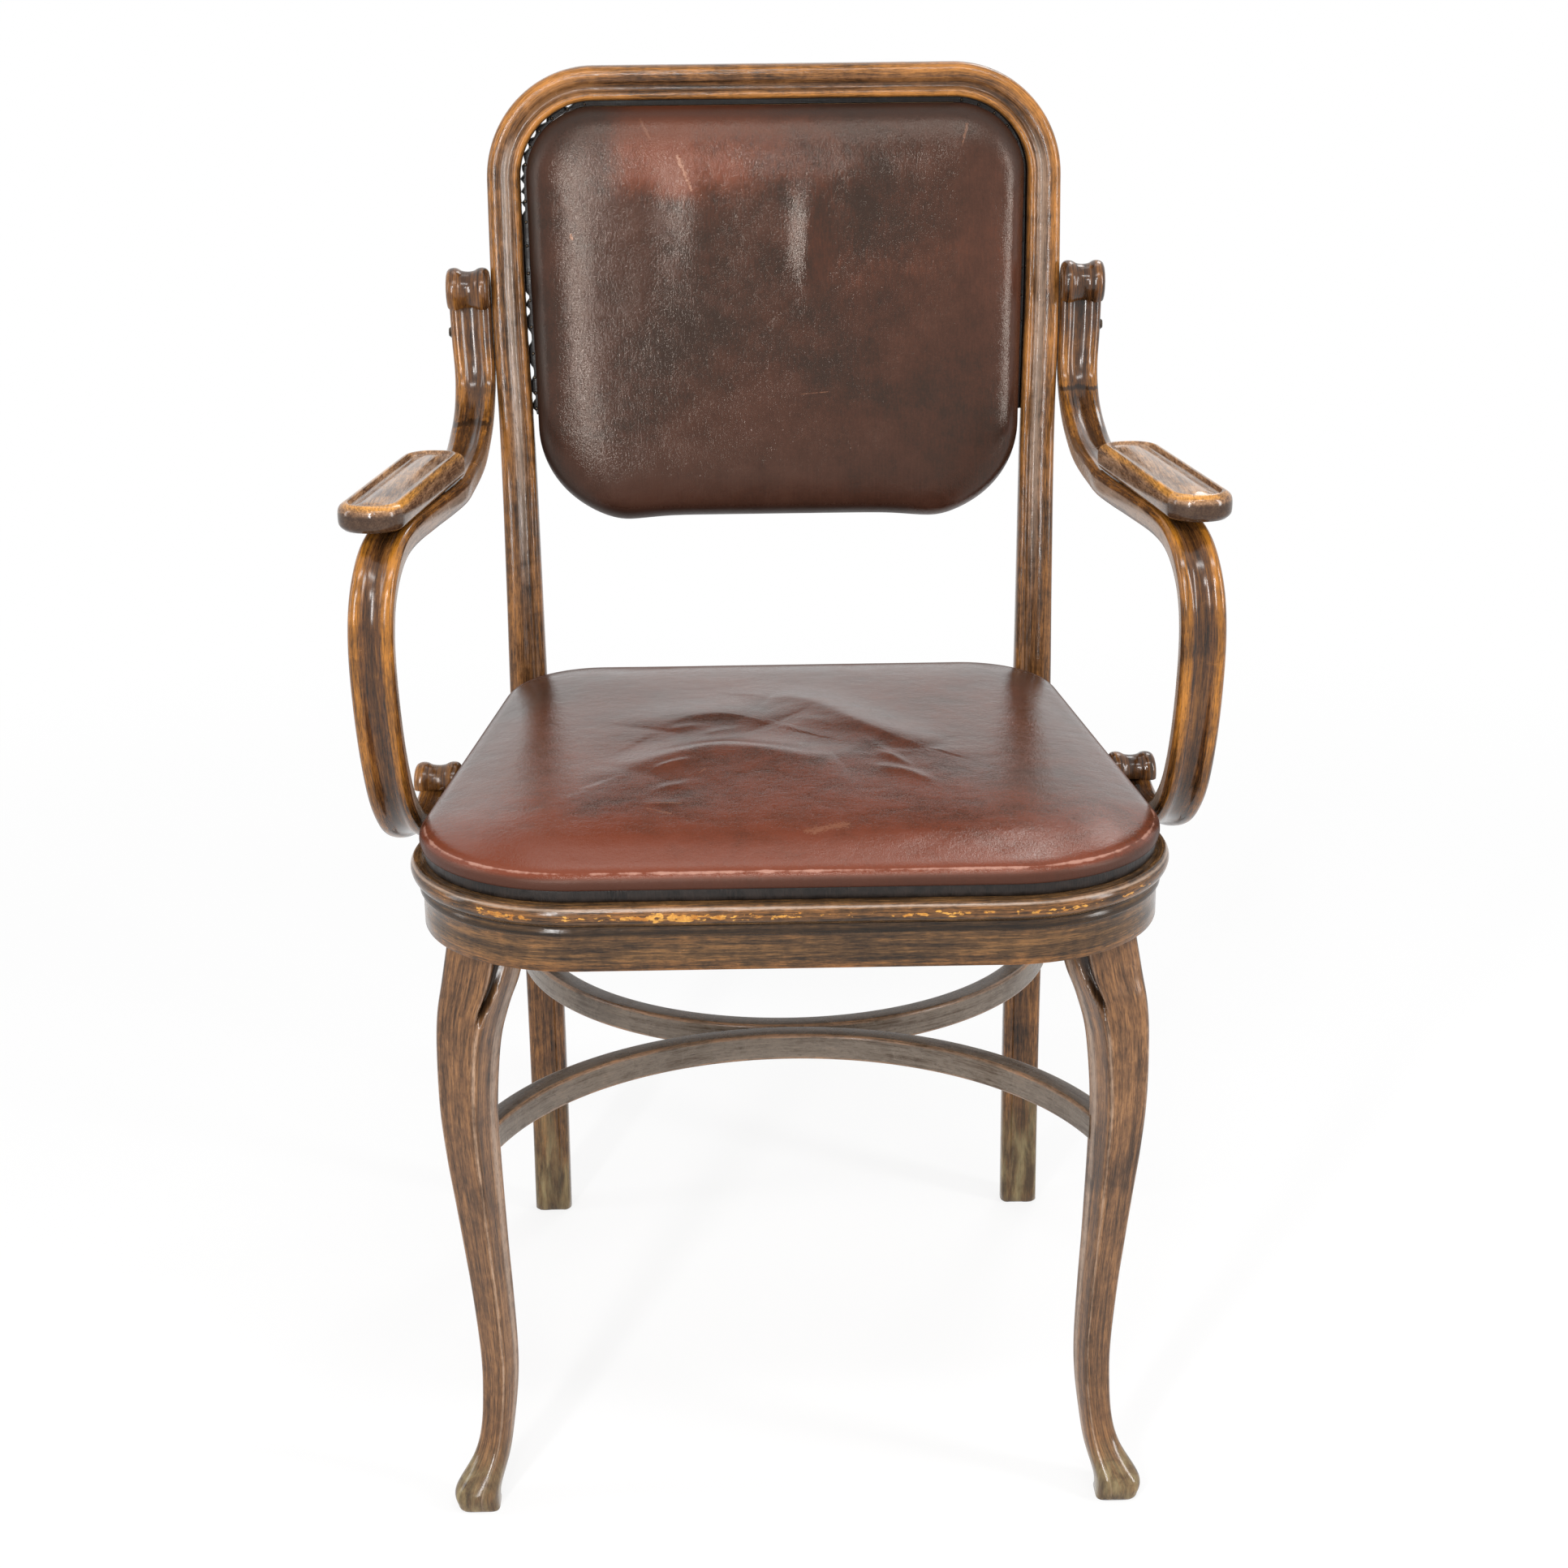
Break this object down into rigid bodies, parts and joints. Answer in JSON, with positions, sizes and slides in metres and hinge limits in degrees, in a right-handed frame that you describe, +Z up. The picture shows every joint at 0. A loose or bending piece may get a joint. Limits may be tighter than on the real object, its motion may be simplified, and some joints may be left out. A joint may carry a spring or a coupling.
{
  "type": "bentwood armchair",
  "caption": "Static bentwood armchair with a leather back pad and seat, moulded arm strips with rounded armrests, curved front legs and bow stretchers.",
  "frame": {"origin": "centre of the bounding box, on the floor", "axes": "+Z up, -Y towards the front of the chair, +X towards the armrest seen at the right from the front"},
  "size_m": [0.6006, 0.576, 0.962],
  "materials": {
    "stained_wood": "dark stained beech, worn satin varnish",
    "plain_wood": "unfinished beech and plywood",
    "leather": "worn glossy leather",
    "dark_trim": "dark edging",
    "nails": "darkened",
    "steel": "dull"
  },
  "bodies": {
    "root": {"back_frame": "stained_wood", "seat_ring": "stained_wood", "front_leg_left": "stained_wood", "front_leg_right": "stained_wood", "front_stretcher": "stained_wood", "rear_stretcher": "stained_wood", "arm_left": "stained_wood", "arm_right": "stained_wood", "armrest_left": "stained_wood", "armrest_right": "stained_wood", "seat_board": "plain_wood", "seat_cushion": "leather", "seat_edging": "dark_trim", "back_board": "plain_wood", "back_cushion": "leather", "back_rear_cover": "leather", "back_ledge": "dark_trim", "back_nails": "nails", "corner_block_left": "plain_wood", "corner_block_right": "plain_wood", "corner_block_screws": "steel", "frame_bolts": "steel", "frame_bolt_nuts": "steel", "arm_top_screws": "steel", "arm_bottom_bolts": "steel", "arm_bottom_nuts": "steel", "arm_spacers": "stained_wood", "armrest_screws": "steel", "stretcher_dowels": "plain_wood", "stretcher_screw": "steel", "seat_board_screws": "steel"}
  },
  "joints": []
}
